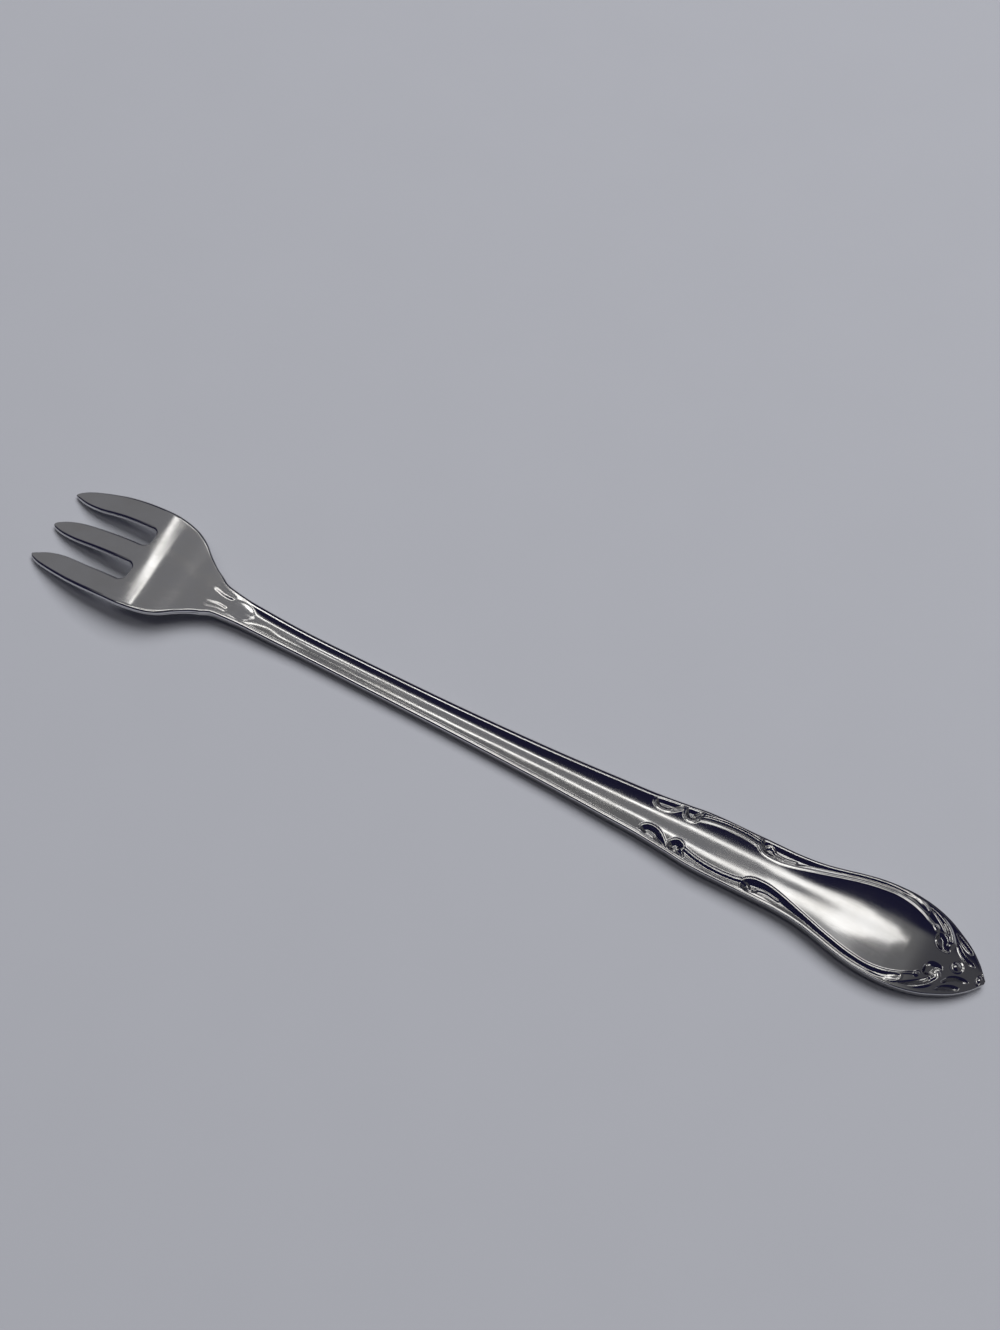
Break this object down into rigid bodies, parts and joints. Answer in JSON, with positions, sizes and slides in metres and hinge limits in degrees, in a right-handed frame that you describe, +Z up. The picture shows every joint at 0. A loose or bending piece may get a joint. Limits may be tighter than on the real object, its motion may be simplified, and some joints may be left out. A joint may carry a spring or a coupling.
{
  "type": "oyster fork",
  "caption": "Slender stainless table fork with short curved tines, a rimmed shank and a domed handle with scroll relief.",
  "frame": {"origin": "on the table, under the middle of the fork's length and width", "axes": "+X from the points of the tines to the end of the handle, +Z up, out of the back of the fork, which lies face down"},
  "size_m": [0.1512, 0.0174, 0.005],
  "materials": {
    "steel": "polished stainless steel with fine wear"
  },
  "bodies": {
    "root": {"left_tine": "steel", "middle_tine": "steel", "right_tine": "steel", "head": "steel", "neck": "steel", "shank": "steel", "handle": "steel", "handle_tip": "steel"}
  },
  "joints": []
}
